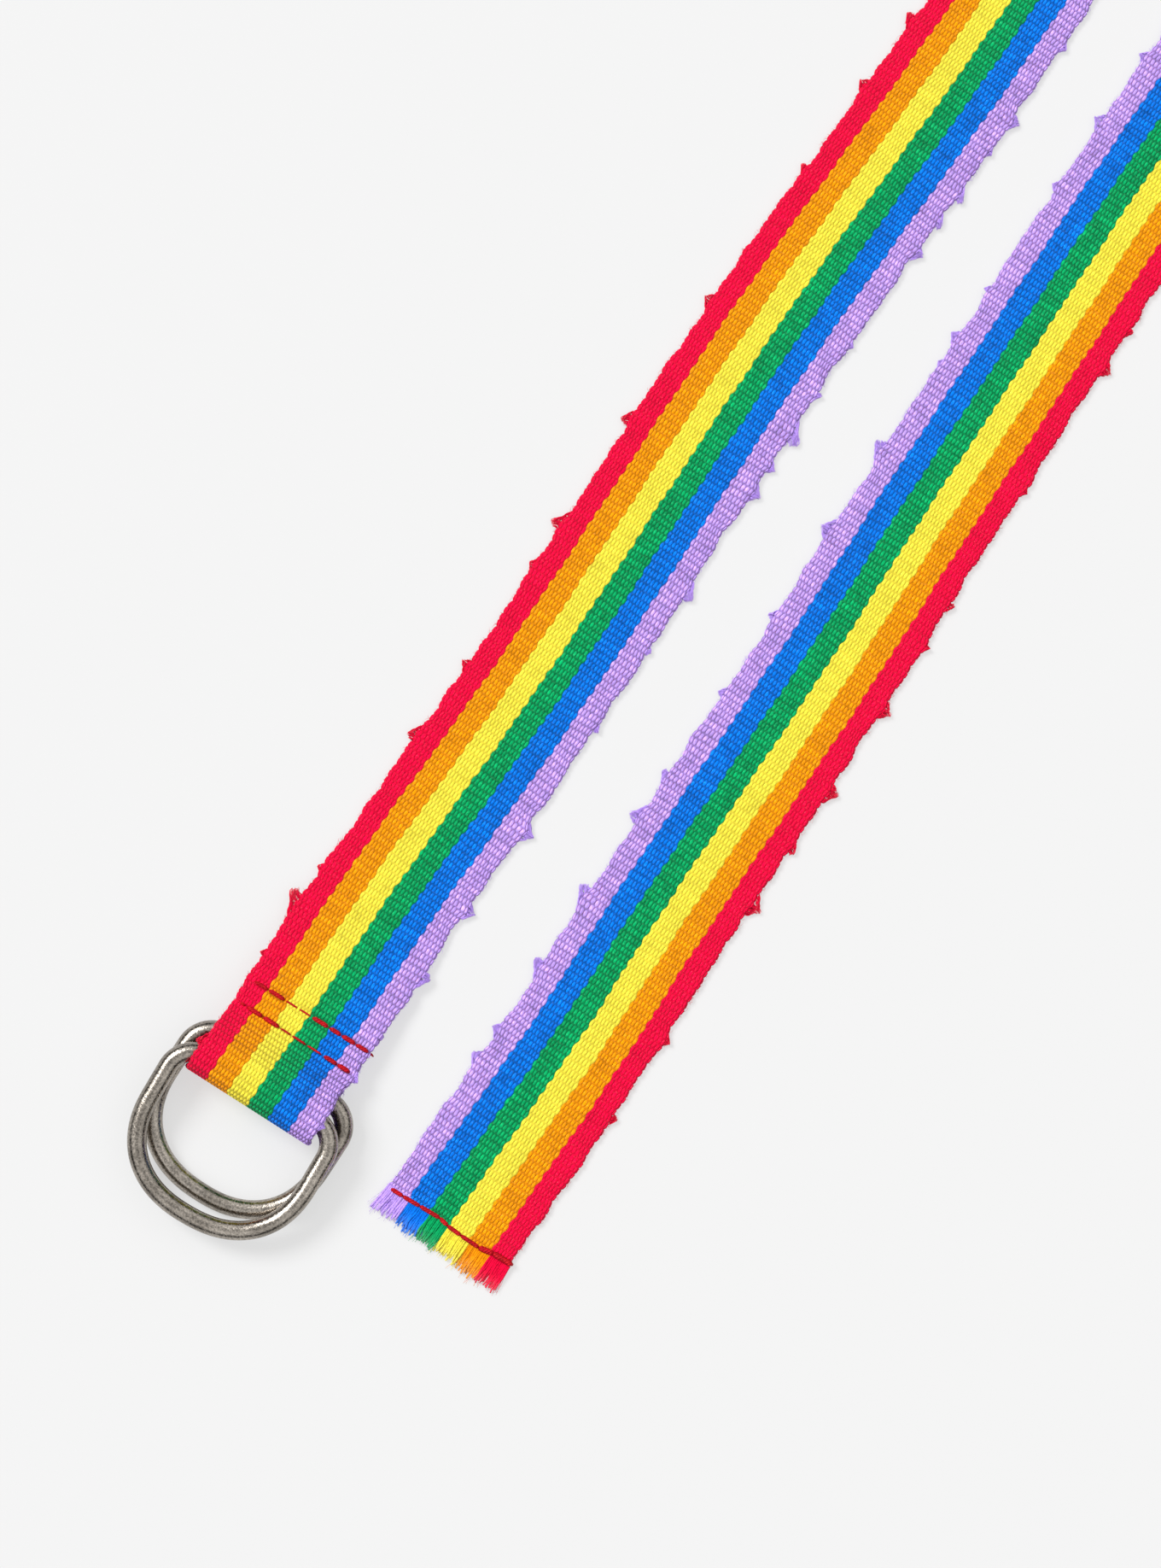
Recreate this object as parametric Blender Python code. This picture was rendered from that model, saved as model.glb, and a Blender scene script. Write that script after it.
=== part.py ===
"""A luggage strap: ribbed cotton webbing with a pair of D-rings sewn into one end.

The strap lies on a table with its top face up. Its two runs lie side by side along Y, with the
D-rings and the fringed end at -Y. At +Y the webbing rolls up on its edge, turns back in a
standing U-turn and lays itself down again. Z is up and the table is z = 0.
"""

import math

import bmesh
import bpy
from mathutils import Vector

MM = 0.001

# Webbing
WEB_WIDTH = 38.0 * MM
WEB_THICK = 2.0 * MM
LAYER_GAP = 0.3 * MM
LOOP_WIDTH = 36.2 * MM
LOOP_NARROW_TO = 17.0 * MM
FRINGE_LENGTH = 7.0 * MM
FRINGE_THICK = 0.8 * MM

# The two nearly straight runs, measured where the webbing folds round the rings
FOLD_Y = -253.2 * MM
RUN_OFFSET = 31.1 * MM
CENTRE_X = 2.9 * MM
TOE_IN = math.radians(0.33)
TAIL_END_AHEAD = 1.2 * MM
ROLL_START_Y = 140.0 * MM
ROLL_LENGTH = 95.0 * MM

# How far each run wanders towards +X as it lies: distance from the fold, and shift, in mm
TURN_SHIFT = 1.0
RING_RUN_SWAY = [(20.0, 0.0), (62.0, -0.5), (130.0, 0.65), (250.0, -1.0), (352.0, TURN_SHIFT)]
FREE_RUN_SWAY = [
    (-12.0, -1.95), (70.0, -0.1), (92.0, -0.4), (185.0, 0.4), (232.0, -0.1), (325.0, 0.0),
    (385.0, TURN_SHIFT),
]
SWAY_STEP = 20.0 * MM

# The folded end is sewn slightly out of square, and straightens out along the run
FOLD_SKEW = math.radians(1.7)
SKEW_FULL = 32.0 * MM
SKEW_NONE = 72.0 * MM

# Side view of the folded end: distance from the fold, and height of the webbing's middle layer.
# It runs from the flap's end, under the ring bars, round the fold and back over the top.
SEWN_SLOPE = -0.1
LOWER_AT_SEAM = 4.05
UPPER_AT_SEAM = LOWER_AT_SEAM + (WEB_THICK + LAYER_GAP) / MM
SEAM_DISTANCES = (22.0, 28.8)
FLAP_END = 35.0
UNDER_BARS = [(19.3, 3.9), (17.3, 2.85), (15.2, 1.7), (13.0, 1.1), (10.6, 1.02), (8.0, 1.04)]
NOSE = [(5.2, 1.4), (2.7, 2.7), (1.3, 5.0), (1.0, 7.8), (1.1, 10.6), (2.2, 13.3), (4.7, 14.9)]
OVER_BARS = [(7.6, 15.2), (9.9, 14.7), (12.1, 13.1), (14.6, 10.8), (17.0, 8.7), (19.2, 7.1)]
SETTLING = [(36.0, 4.85), (42.0, 4.0), (50.0, 2.9), (58.0, 1.95), (66.0, 1.3), (74.0, 1.03)]
SETTLED = (84.0, 1.0)

# Plan view of half of the U-turn, from the roll's start to the middle of the bend: x, y in mm
HALF_TURN = [
    (28.9, 160.0), (30.2, 182.0), (32.8, 204.0), (35.6, 226.2), (36.4, 246.6),
    (33.0, 265.1), (25.0, 278.0), (13.2, 284.2), (0.0, 285.7),
]
LOOP_STEPS = 2
TURN_STEPS = 4

# D-rings, bent from round wire
WIRE = 5.0 * MM
RING_WIDTH = 51.6 * MM
RING_HEIGHT = 42.6 * MM
RING_CORNER = 10.0 * MM
RING_ARC_DEPTH = 22.0 * MM
RING_ARC_EXPONENT = 2.3
RING_GAP = 0.35 * MM
BAR_BEHIND_AXIS = 0.6 * MM
BAR_CLEARANCE = 0.5 * MM
WIRE_SIDES = 12
CORNER_STEPS = 4
ARC_STEPS = 20
REST_ABOVE_TABLE = 0.05 * MM
REAR_AXIS = 12.4 * MM
REAR_SHIFT = 1.2 * MM
REAR_TURN = math.radians(0.8)
FRONT_AXIS = 5.8 * MM
FRONT_SHIFT = 0.3 * MM
FRONT_TURN = math.radians(3.5)

# Seams: each is a needle thread on the upper face and a bobbin thread on the lower one
THREAD_WIDE = 0.9 * MM
THREAD_HIGH = 0.5 * MM
LEG = 0.7 * MM
STITCH = 4.1 * MM
STITCHES = 8
THREAD_CLEARANCE = 0.3 * MM
SUNK = 0.3 * MM
BOBBIN_UP = 0.1 * MM
TAIL_SEAM_INSIDE = 2.4 * MM
TAIL_SEAM_TURN = math.radians(-2.2)

CLOTH_COLOUR = (0.90, 0.55, 0.10, 1.0)
PEWTER_COLOUR = (0.30, 0.28, 0.26, 1.0)
THREAD_COLOUR = (0.55, 0.01, 0.02, 1.0)


def material(name, colour, metallic, roughness):
    made = bpy.data.materials.new(name)
    made.use_nodes = True
    shader = made.node_tree.nodes["Principled BSDF"]
    shader.inputs["Base Color"].default_value = colour
    shader.inputs["Metallic"].default_value = metallic
    shader.inputs["Roughness"].default_value = roughness
    made.diffuse_color = colour
    return made


def add_object(name, mesh, surface):
    mesh.materials.append(surface)
    made = bpy.data.objects.new(name, mesh)
    bpy.context.scene.collection.objects.link(made)
    return made


def smoothstep(low, high, value):
    t = min(max((value - low) / (high - low), 0.0), 1.0)
    return t * t * (3.0 - 2.0 * t)


def through(points, steps):
    """A smooth curve through the points, with this many steps between neighbours."""
    points = [Vector(p) for p in points]
    ends = [2 * points[0] - points[1]] + points + [2 * points[-1] - points[-2]]
    made = []
    for i in range(1, len(ends) - 2):
        a, b, c, d = ends[i - 1 : i + 3]
        for step in range(steps):
            t = step / steps
            made.append(
                0.5 * (2 * b + (c - a) * t + (2 * a - 5 * b + 4 * c - d) * t**2
                       + (3 * b - a - 3 * c + d) * t**3)
            )
    made.append(points[-1])
    return made


def run_direction(side):
    """Along a run towards +Y. side is -1 for the ring end's run and 1 for the free end's."""
    return Vector((-side * math.sin(TOE_IN), math.cos(TOE_IN), 0.0))


def sway(side, distance):
    """How far a run has wandered towards +X, this far along it from the fold."""
    points = RING_RUN_SWAY if side == -1 else FREE_RUN_SWAY
    shift = points[0][1]
    for (low, before), (high, after) in zip(points, points[1:]):
        shift += (after - before) * smoothstep(low * MM, high * MM, distance)
    return shift * MM


def on_run(side, distance, height=0.0):
    """A point on a run's centre line, this far along it from the fold."""
    start = Vector((side * RUN_OFFSET + CENTRE_X + sway(side, distance), FOLD_Y, height))
    return start + run_direction(side) * distance


def across_run(side, distance):
    """A unit vector across a run, towards +X."""
    ahead = (on_run(side, distance + MM) - on_run(side, distance - MM)).normalized()
    return Vector((ahead.y, -ahead.x, 0.0))


def sewn_height(distance, at_seam):
    return at_seam + SEWN_SLOPE * (distance - SEAM_DISTANCES[0])


def folded_end_profile():
    """Side view of the folded end, from the flap's end to where the run lies flat, in mm."""
    flat_zone = [FLAP_END, 32.0, SEAM_DISTANCES[1], 25.4, SEAM_DISTANCES[0], 20.8]
    lower = [(d, sewn_height(d, LOWER_AT_SEAM)) for d in flat_zone]
    upper = [(d, sewn_height(d, UPPER_AT_SEAM)) for d in reversed(flat_zone[1:])]
    return lower + UNDER_BARS + NOSE + OVER_BARS + upper + SETTLING + [SETTLED]


def folded_end():
    """Sections of the webbing along the folded end: centre, width vector and thickness.

    The ring corners pinch the loop a little narrower than the rest.
    """
    along = run_direction(-1)
    across = Vector((along.y, -along.x, 0.0))
    sections = []
    for distance, height in through(folded_end_profile(), LOOP_STEPS):
        centre = on_run(-1, distance * MM, height * MM)
        skew = math.tan(FOLD_SKEW) * (1 - smoothstep(SKEW_FULL, SKEW_NONE, distance * MM))
        spread = smoothstep(LOOP_NARROW_TO, SEAM_DISTANCES[0] * MM, distance * MM)
        width = LOOP_WIDTH + (WEB_WIDTH - LOOP_WIDTH) * spread
        sections.append((centre, (across + along * skew) * width, WEB_THICK))
    return sections


def flat_run(side, near, far):
    """Sections along a run where it lies flat on the table, in order along it from the fold."""
    steps = round((far - near) / SWAY_STEP)
    sections = []
    for step in range(steps):
        distance = near + (far - near) * step / steps
        centre = on_run(side, distance, WEB_THICK / 2)
        sections.append((centre, across_run(side, distance) * WEB_WIDTH, WEB_THICK))
    return sections


def turn():
    """Sections along the U-turn. The outer edge stays on the table while the webbing rolls up."""
    centre_x = CENTRE_X + TURN_SHIFT * MM
    half = [Vector((x * MM, y * MM)) for x, y in HALF_TURN]
    start = on_run(1, ROLL_START_Y - FOLD_Y)
    half.insert(0, Vector((start.x - centre_x, start.y)))
    route = [Vector((-p.x, p.y)) for p in half] + half[-2::-1]
    plan = through(route, TURN_STEPS)
    walked = [0.0]
    for before, after in zip(plan, plan[1:]):
        walked.append(walked[-1] + (after - before).length)
    sections = []
    for i, point in enumerate(plan):
        ahead = (plan[min(i + 1, len(plan) - 1)] - plan[max(i - 1, 0)]).normalized()
        to_end = min(walked[i], walked[-1] - walked[i])
        roll = smoothstep(0.0, ROLL_LENGTH, to_end) * math.pi / 2
        right = Vector((ahead.y, -ahead.x, 0.0))
        across = right * math.cos(roll) + Vector((0, 0, math.sin(roll)))
        height = (WEB_WIDTH * math.sin(roll) + WEB_THICK * math.cos(roll)) / 2
        centre = Vector((point.x + centre_x, point.y, height))
        sections.append((centre, across * WEB_WIDTH, WEB_THICK))
    return sections


def free_end():
    """Sections of the free end, which thins out into its fringe."""
    sections = []
    for ahead, thick in ((0.0, WEB_THICK), (-1.5 * MM, FRINGE_THICK * 1.5),
                         (-FRINGE_LENGTH, FRINGE_THICK)):
        distance = TAIL_END_AHEAD + ahead
        centre = on_run(1, distance, thick / 2)
        sections.append((centre, -across_run(1, distance) * WEB_WIDTH, thick))
    return sections


def whole_strap():
    """Sections of the whole webbing, from the flap's end to the fringe."""
    roll_start = ROLL_START_Y - FOLD_Y
    settled = SETTLED[0] * MM
    ring_run = flat_run(-1, settled, roll_start)[1:]
    free_run = flat_run(1, TAIL_END_AHEAD, roll_start)[1:]
    free_run = [(centre, -across, thick) for centre, across, thick in reversed(free_run)]
    return folded_end() + ring_run + turn() + free_run + free_end()


def ribbon(name, sections, surface):
    """One closed band through the sections, flat faces and square edges."""
    shape = bmesh.new()
    rings = []
    for i, (centre, across, thick) in enumerate(sections):
        ahead = (sections[min(i + 1, len(sections) - 1)][0] - sections[max(i - 1, 0)][0])
        face = across.cross(ahead).normalized() * thick / 2
        half = across / 2
        corners = (-half + face, face, half + face, half - face, -face, -half - face)
        rings.append([shape.verts.new(centre + corner) for corner in corners])
    for near, far in zip(rings, rings[1:]):
        for k in range(len(near)):
            following = (k + 1) % len(near)
            shape.faces.new((near[k], far[k], far[following], near[following]))
    for ring in (rings[0], rings[-1]):
        shape.faces.new((ring[0], ring[1], ring[4], ring[5]))
        shape.faces.new((ring[1], ring[2], ring[3], ring[4]))
    bmesh.ops.recalc_face_normals(shape, faces=shape.faces)
    mesh = bpy.data.meshes.new(name)
    shape.to_mesh(mesh)
    shape.free()
    return add_object(name, mesh, surface)


def d_outline():
    """Centre line of a D-ring in its own plane, x along the bar and the arc towards -y.

    The arc is a superellipse, a little squarer than a half circle.
    """
    half = (RING_WIDTH - WIRE) / 2
    corner = RING_CORNER - WIRE / 2
    side_end = RING_HEIGHT - WIRE - RING_ARC_DEPTH
    power = 2 / RING_ARC_EXPONENT
    points = []
    for side in (1, -1):
        quarter = [math.pi / 2 * k / CORNER_STEPS for k in range(CORNER_STEPS + 1)]
        bend = [
            (side * (half - corner + corner * math.sin(a)), -corner + corner * math.cos(a))
            for a in quarter
        ]
        points += bend if side == 1 else bend[::-1]
        if side == 1:
            for k in range(ARC_STEPS + 1):
                a = math.pi * k / ARC_STEPS
                x = math.copysign(half * abs(math.cos(a)) ** power, math.cos(a))
                points.append((x, -side_end - RING_ARC_DEPTH * abs(math.sin(a)) ** power))
    return points


def d_ring(name, surface):
    """A closed ring of round wire, whose origin is on the axis that it swings about."""
    shape = bmesh.new()
    outline = [Vector((x, y + BAR_BEHIND_AXIS, 0.0)) for x, y in d_outline()]
    up = Vector((0, 0, 1))
    rings = []
    for i, point in enumerate(outline):
        ahead = (outline[(i + 1) % len(outline)] - outline[i - 1]).normalized()
        outward = ahead.cross(up)
        ring = []
        for k in range(WIRE_SIDES):
            angle = 2 * math.pi * k / WIRE_SIDES
            ring.append(shape.verts.new(
                point + (outward * math.cos(angle) + up * math.sin(angle)) * WIRE / 2
            ))
        rings.append(ring)
    for i, near in enumerate(rings):
        far = rings[(i + 1) % len(rings)]
        for k in range(WIRE_SIDES):
            following = (k + 1) % WIRE_SIDES
            shape.faces.new((near[k], near[following], far[following], far[k]))
    bmesh.ops.recalc_face_normals(shape, faces=shape.faces)
    mesh = bpy.data.meshes.new(name)
    shape.to_mesh(mesh)
    shape.free()
    mesh.shade_smooth()
    return add_object(name, mesh, surface)


def comb(name, bar_low, bar_high, leg_end, grow, surface):
    """A thread's bar across the webbing, with a leg at each stitch hole, grown by a clearance."""
    side = 1 if leg_end > bar_high else -1
    back, front = (bar_low, bar_high) if side == 1 else (bar_high, bar_low)
    back -= side * grow
    front += side * grow
    pitch_half = STITCH * STITCHES / 2
    leg_half = LEG / 2 + grow
    profile = [(-pitch_half - leg_half, back)]
    for k in range(STITCHES + 1):
        x = -pitch_half + STITCH * k
        profile += [(x - leg_half, front), (x - leg_half, leg_end)]
        profile += [(x + leg_half, leg_end), (x + leg_half, front)]
    profile.append((pitch_half + leg_half, back))
    del profile[1], profile[-2]
    shape = bmesh.new()
    depth = THREAD_WIDE / 2 + grow
    outline = [shape.verts.new((x, -depth, z)) for x, z in profile]
    face = shape.faces.new(outline)
    swept = bmesh.ops.extrude_face_region(shape, geom=[face])
    moved = [v for v in swept["geom"] if isinstance(v, bmesh.types.BMVert)]
    bmesh.ops.translate(shape, vec=(0, 2 * depth, 0), verts=moved)
    bmesh.ops.recalc_face_normals(shape, faces=shape.faces)
    mesh = bpy.data.meshes.new(name)
    shape.to_mesh(mesh)
    shape.free()
    return add_object(name, mesh, surface)


def cut(body, cutter):
    cutter.hide_render = True
    cutter.display_type = "WIRE"
    boolean = body.modifiers.new(cutter.name, "BOOLEAN")
    boolean.operation = "DIFFERENCE"
    boolean.solver = "EXACT"
    boolean.object = cutter


def seam(name, web, middle, slope, turned, upper_face, lower_face, join, surface):
    """Needle and bobbin threads of one row, and the grooves and holes that they lie in.

    Heights are measured from middle along the webbing's own upward direction.
    """
    needle = (upper_face - SUNK, upper_face - SUNK + THREAD_HIGH)
    bobbin = (lower_face + BOBBIN_UP, lower_face + BOBBIN_UP + THREAD_HIGH)
    legs = {"needle": join + LAYER_GAP / 2, "bobbin": join - LAYER_GAP / 2}
    for kind, bar in (("needle", needle), ("bobbin", bobbin)):
        thread = comb(f"{name}_{kind}_thread", *bar, legs[kind], 0.0, surface)
        cutter = comb(f"{name}_{kind}_groove", *bar, join, THREAD_CLEARANCE, surface)
        for piece in (thread, cutter):
            piece.location = middle
            piece.rotation_euler = (math.atan(slope), 0.0, turned)
        cut(web, cutter)


def place_ring(ring, distance, shift, height, turned, tilt):
    along = run_direction(-1)
    across = Vector((along.y, -along.x, 0.0))
    ring.location = on_run(-1, distance, height) + across * shift
    ring.rotation_euler = (tilt, 0.0, turned)


def clear_scene():
    for item in list(bpy.data.objects):
        bpy.data.objects.remove(item, do_unlink=True)


def main():
    clear_scene()
    cloth = material("cotton_webbing", CLOTH_COLOUR, 0.0, 0.85)
    pewter = material("antique_pewter", PEWTER_COLOUR, 1.0, 0.38)
    thread = material("red_thread", THREAD_COLOUR, 0.0, 0.6)

    web = ribbon("webbing", whole_strap(), cloth)

    reach = RING_HEIGHT - WIRE - BAR_BEHIND_AXIS
    rear_height = WEB_THICK + BAR_CLEARANCE + BAR_BEHIND_AXIS + WIRE / 2
    tilt = math.asin((rear_height - WIRE / 2 - REST_ABOVE_TABLE) / reach)
    stacked = (WIRE + RING_GAP) / math.cos(tilt)
    front_height = rear_height - (REAR_AXIS - FRONT_AXIS) * math.tan(tilt) + stacked
    rear = d_ring("rear_d_ring", pewter)
    place_ring(rear, REAR_AXIS, REAR_SHIFT, rear_height, REAR_TURN, tilt)
    front = d_ring("front_d_ring", pewter)
    place_ring(front, FRONT_AXIS, FRONT_SHIFT, front_height, FRONT_TURN, tilt)

    layers = WEB_THICK + LAYER_GAP / 2
    for name, distance in zip(("first_seam", "second_seam"), SEAM_DISTANCES):
        height = sewn_height(distance, (LOWER_AT_SEAM + UPPER_AT_SEAM) / 2)
        middle = on_run(-1, distance * MM, height * MM)
        turned = FOLD_SKEW - TOE_IN
        seam(name, web, middle, SEWN_SLOPE, turned, layers, -layers, 0.0, thread)
    tail_middle = on_run(1, TAIL_END_AHEAD + TAIL_SEAM_INSIDE)
    seam("end_seam", web, tail_middle, 0.0, TAIL_SEAM_TURN, WEB_THICK, 0.0, WEB_THICK / 2, thread)


main()
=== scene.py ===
"""The looks of a D-ring webbing strap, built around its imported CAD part.

The ribbed cotton webbing is woven yarn by yarn in geometry and in its material. On it come the
twisted seam threads, the frayed tufts along the selvedges, the fringe and two pewter D-rings.
Lengths below are in millimetres, and become metres where a mesh or an object is made.
"""

import math

import bpy
import numpy as np
from mathutils import Matrix, Vector


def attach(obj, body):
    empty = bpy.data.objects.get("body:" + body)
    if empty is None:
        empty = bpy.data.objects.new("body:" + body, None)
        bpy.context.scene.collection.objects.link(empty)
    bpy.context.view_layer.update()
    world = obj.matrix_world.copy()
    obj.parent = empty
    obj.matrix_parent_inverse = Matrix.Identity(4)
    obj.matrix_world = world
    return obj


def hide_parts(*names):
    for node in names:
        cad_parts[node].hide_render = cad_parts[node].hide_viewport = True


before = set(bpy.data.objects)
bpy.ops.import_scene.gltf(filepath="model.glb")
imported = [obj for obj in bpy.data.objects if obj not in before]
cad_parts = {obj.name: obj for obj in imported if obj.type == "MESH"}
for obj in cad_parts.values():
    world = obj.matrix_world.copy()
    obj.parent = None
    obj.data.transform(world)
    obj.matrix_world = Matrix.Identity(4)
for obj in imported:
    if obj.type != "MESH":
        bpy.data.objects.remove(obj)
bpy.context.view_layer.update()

MM = 0.001

# Webbing, as in the CAD source
WEB_WIDTH = 38.0
WEB_THICK = 2.0
LAYER_GAP = 0.3
LOOP_WIDTH = 37.3
LOOP_NARROW_TO = 17.0
FOLD_Y = -253.2
RUN_OFFSET = 31.1
CENTRE_X = 2.9
TOE_IN = math.radians(0.33)
ROLL_START_Y = 140.0
ROLL_LENGTH = 95.0
TURN_SHIFT = 1.0
RING_RUN_SWAY = [(20.0, 0.0), (62.0, -0.5), (130.0, 0.65), (250.0, -1.0), (352.0, TURN_SHIFT)]
FREE_RUN_SWAY = [
    (-12.0, -1.95), (70.0, -0.1), (92.0, -0.4), (185.0, 0.4), (232.0, -0.1), (325.0, 0.0),
    (385.0, TURN_SHIFT),
]
FOLD_SKEW = math.radians(1.7)
SKEW_FULL = 32.0
SKEW_NONE = 72.0
SEWN_SLOPE = -0.1
LOWER_AT_SEAM = 4.05
UPPER_AT_SEAM = LOWER_AT_SEAM + WEB_THICK + LAYER_GAP
SEAM_DISTANCES = (22.0, 28.8)
FLAP_END = 35.0
UNDER_BARS = [(19.3, 3.9), (17.3, 2.85), (15.2, 1.7), (13.0, 1.1), (10.6, 1.02), (8.0, 1.04)]
NOSE = [(5.2, 1.4), (2.7, 2.7), (1.3, 5.0), (1.0, 7.8), (1.1, 10.6), (2.2, 13.3), (4.7, 14.9)]
OVER_BARS = [(7.6, 15.2), (9.9, 14.7), (12.1, 13.1), (14.6, 10.8), (17.0, 8.7), (19.2, 7.1)]
SETTLING = [(36.0, 4.85), (42.0, 4.0), (50.0, 2.9), (58.0, 1.95), (66.0, 1.3), (74.0, 1.03)]
SETTLED = (84.0, 1.0)
HALF_TURN = [
    (28.9, 160.0), (30.2, 182.0), (32.8, 204.0), (35.6, 226.2), (36.4, 246.6),
    (33.0, 265.1), (25.0, 278.0), (13.2, 284.2), (0.0, 285.7),
]

# D-rings, as in the CAD source
WIRE = 5.0
RING_WIDTH = 51.6
RING_HEIGHT = 42.6
RING_CORNER = 10.0
RING_ARC_DEPTH = 22.0
RING_ARC_EXPONENT = 2.3
RING_GAP = 0.35
BAR_BEHIND_AXIS = 0.6
BAR_CLEARANCE = 0.5
REST_ABOVE_TABLE = 0.05
REAR_AXIS = 12.4
REAR_SHIFT = 1.2
REAR_TURN = math.radians(0.8)
FRONT_AXIS = 5.8
FRONT_SHIFT = 0.3
FRONT_TURN = math.radians(3.5)
RING_STEPS = 260
RING_SIDES = 40

# The weave: warp yarns side by side round the webbing, each over one pick and under the next
STRIPES = 6
FACE_YARNS = 78
FLAT_YARNS = 74
EDGE_YARNS = 6
ROUND_YARNS = 2 * (FLAT_YARNS + EDGE_YARNS)
PICK = 1.933
ROW_PLACES = (0.0, 0.12, 0.38, 0.5, 0.62, 0.88)
TOP_PER_YARN = 2
UNDER_PER_YARN = 1
EDGE_STEPS = 8
RELIEF = 0.17
RIB = 0.29
SEGMENTS = 5
WEAVE_END = 3.0

# Threads: where each visible stitch starts and ends across the webbing, and its radius
FIRST_SEAM = [
    (-16.8, -14.7, 0.34), (-14.5, -9.7, 0.58), (-9.6, -4.7, 0.60), (-4.5, -0.9, 0.25),
    (-0.8, 3.6, 0.30), (3.8, 8.4, 0.26), (9.0, 13.0, 0.58), (13.1, 16.9, 0.62),
]
SECOND_SEAM = [
    (-16.6, -12.4, 0.48), (-12.3, -7.4, 0.58), (-7.3, -3.4, 0.27), (-3.3, 0.7, 0.24),
    (1.0, 5.8, 0.60), (6.1, 9.7, 0.58), (9.9, 14.0, 0.62), (14.1, 18.0, 0.56),
]
END_SEAM_ROUTE = [
    (-19.2, 1.3), (-13.5, 0.9), (-9.6, 0.0), (-4.0, -0.1), (0.2, 0.0), (3.0, 0.5), (9.0, 0.1),
    (14.0, -0.4), (17.6, -0.7),
]
END_SEAM_DISTANCE = 3.6
THREAD_TWIST = 2.3
SEAM_TURN = math.radians(1.6)
SEAM_SHIFT = -0.4

# Tufts where the weft bulges from a selvedge, -1 the red one: mean spacing, reach and length
TUFT_SPACING = {-1: 27.0, 1: 21.0}
TUFT_REACH = (0.6, 2.2)
TUFT_LENGTH = (2.0, 7.0)
TUFT_SEED = 11
EDGE_LOOPS = {-1: -2.0, 1: 76.5}
FUZZ_PER_MM = 1.1
FIBRE_RINGS = 6
FUZZ_RADIUS = 0.04
TUFT_RADIUS = 0.105
FIBRE_LOWEST = 0.12

# How uneven the selvedges are: length and size of each wave
EDGE_WAVES = [(9.0, 0.15), (13.0, 0.16), (18.0, 0.15), (55.0, 0.2)]

# The fringe: how far it reaches past the weave, and the loose fibres of each yarn
FRINGE_OUT = 6.3
LOOSE_FIBRES = 2

# Colours, linear
STRIPE_COLOURS = [
    (0.890, 0.0005, 0.048), (0.950, 0.325, 0.0004), (0.915, 0.770, 0.056),
    (0.0, 0.385, 0.116), (0.0, 0.195, 0.860), (0.585, 0.370, 0.990),
]
# Power on each stripe's tone in the weave: it deepens the painted shade of gaps and valleys together
# with the random tone
STRIPE_CONTRASTS = [1.05, 1.30, 0.9, 1.9, 1.9, 1.9]
# Painted shade: how dark the gaps beside the yarns and the valleys between the picks are painted
GAP_SHADE = 0.66
VALLEY_SHADE = 0.30
THREAD_COLOUR = (0.60, 0.004, 0.012)
THREAD_DARK = (0.13, 0.001, 0.004)

# Table and light: table size in metres, its grey, and the share of its brightness that it gives as
# its own glow, painted light that keeps shadows faint
TABLE_SIZE = 30.0
TABLE_GREY = 0.62
TABLE_SEEN = 0.895
TABLE_GLOW = 0.65
KEY_ANGLE = 22.0
KEY_STRENGTH = 2.88
WORLD_STRENGTH = 1.1
WORLD_GREYS = [(0.0, 0.04), (0.32, 0.07), (0.50, 0.80), (0.72, 1.0), (0.90, 1.0), (0.985, 0.55)]

# Camera: where it looks, how far off it stands, and how it leans and rolls
CAMERA_TARGET = (-3.33, -134.62, 0.0)
CAMERA_DISTANCE = 972.4
CAMERA_AZIMUTH = math.radians(-91.77)
CAMERA_TILT = math.radians(7.246)
CAMERA_ROLL = math.radians(33.94)
CAMERA_LENS = 85.0


# ---------------------------------------------------------------------------- helpers


def smoothstep(low, high, value):
    t = np.clip((np.asarray(value, float) - low) / (high - low), 0.0, 1.0)
    return t * t * (3.0 - 2.0 * t)


def unit(vectors):
    return vectors / np.linalg.norm(vectors, axis=-1, keepdims=True)


def through(points, steps):
    """A smooth curve through the points, with this many steps between neighbours."""
    p = np.array(points, float)
    p = np.vstack([2 * p[0] - p[1], p, 2 * p[-1] - p[-2]])
    t = (np.arange(steps) / steps)[:, None]
    made = []
    for a, b, c, d in zip(p, p[1:], p[2:], p[3:]):
        made.append(
            0.5 * (2 * b + (c - a) * t + (2 * a - 5 * b + 4 * c - d) * t**2
                   + (3 * b - a - 3 * c + d) * t**3)
        )
    return np.vstack([*made, p[-2:-1]])


def walked(points):
    """How far along the line each of its points is."""
    return np.concatenate([[0.0], np.cumsum(np.linalg.norm(np.diff(points, axis=0), axis=1))])


# ---------------------------------------------------------------------------- camera


def make_camera():
    out = Vector((
        math.cos(CAMERA_AZIMUTH) * math.sin(CAMERA_TILT),
        math.sin(CAMERA_AZIMUTH) * math.sin(CAMERA_TILT),
        math.cos(CAMERA_TILT),
    ))
    right = (-out).cross(Vector((0, 1, 0))).normalized()
    up = out.cross(right)
    turned_right = right * math.cos(CAMERA_ROLL) + up * math.sin(CAMERA_ROLL)
    turned_up = up * math.cos(CAMERA_ROLL) - right * math.sin(CAMERA_ROLL)
    data = bpy.data.cameras.new("camera")
    data.lens = CAMERA_LENS
    data.sensor_width = 36.0
    data.clip_start = 0.01
    data.clip_end = 60.0
    camera = bpy.data.objects.new("camera", data)
    bpy.context.scene.collection.objects.link(camera)
    place = (Vector(CAMERA_TARGET) + out * CAMERA_DISTANCE) * MM
    axes = Matrix((turned_right, turned_up, out)).transposed()
    camera.matrix_world = Matrix.Translation(place) @ axes.to_4x4()
    bpy.context.scene.camera = camera
    return turned_right, turned_up


# ---------------------------------------------------------------------------- the webbing's route


def run_direction(side):
    return np.array([-side * math.sin(TOE_IN), math.cos(TOE_IN), 0.0])


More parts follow.
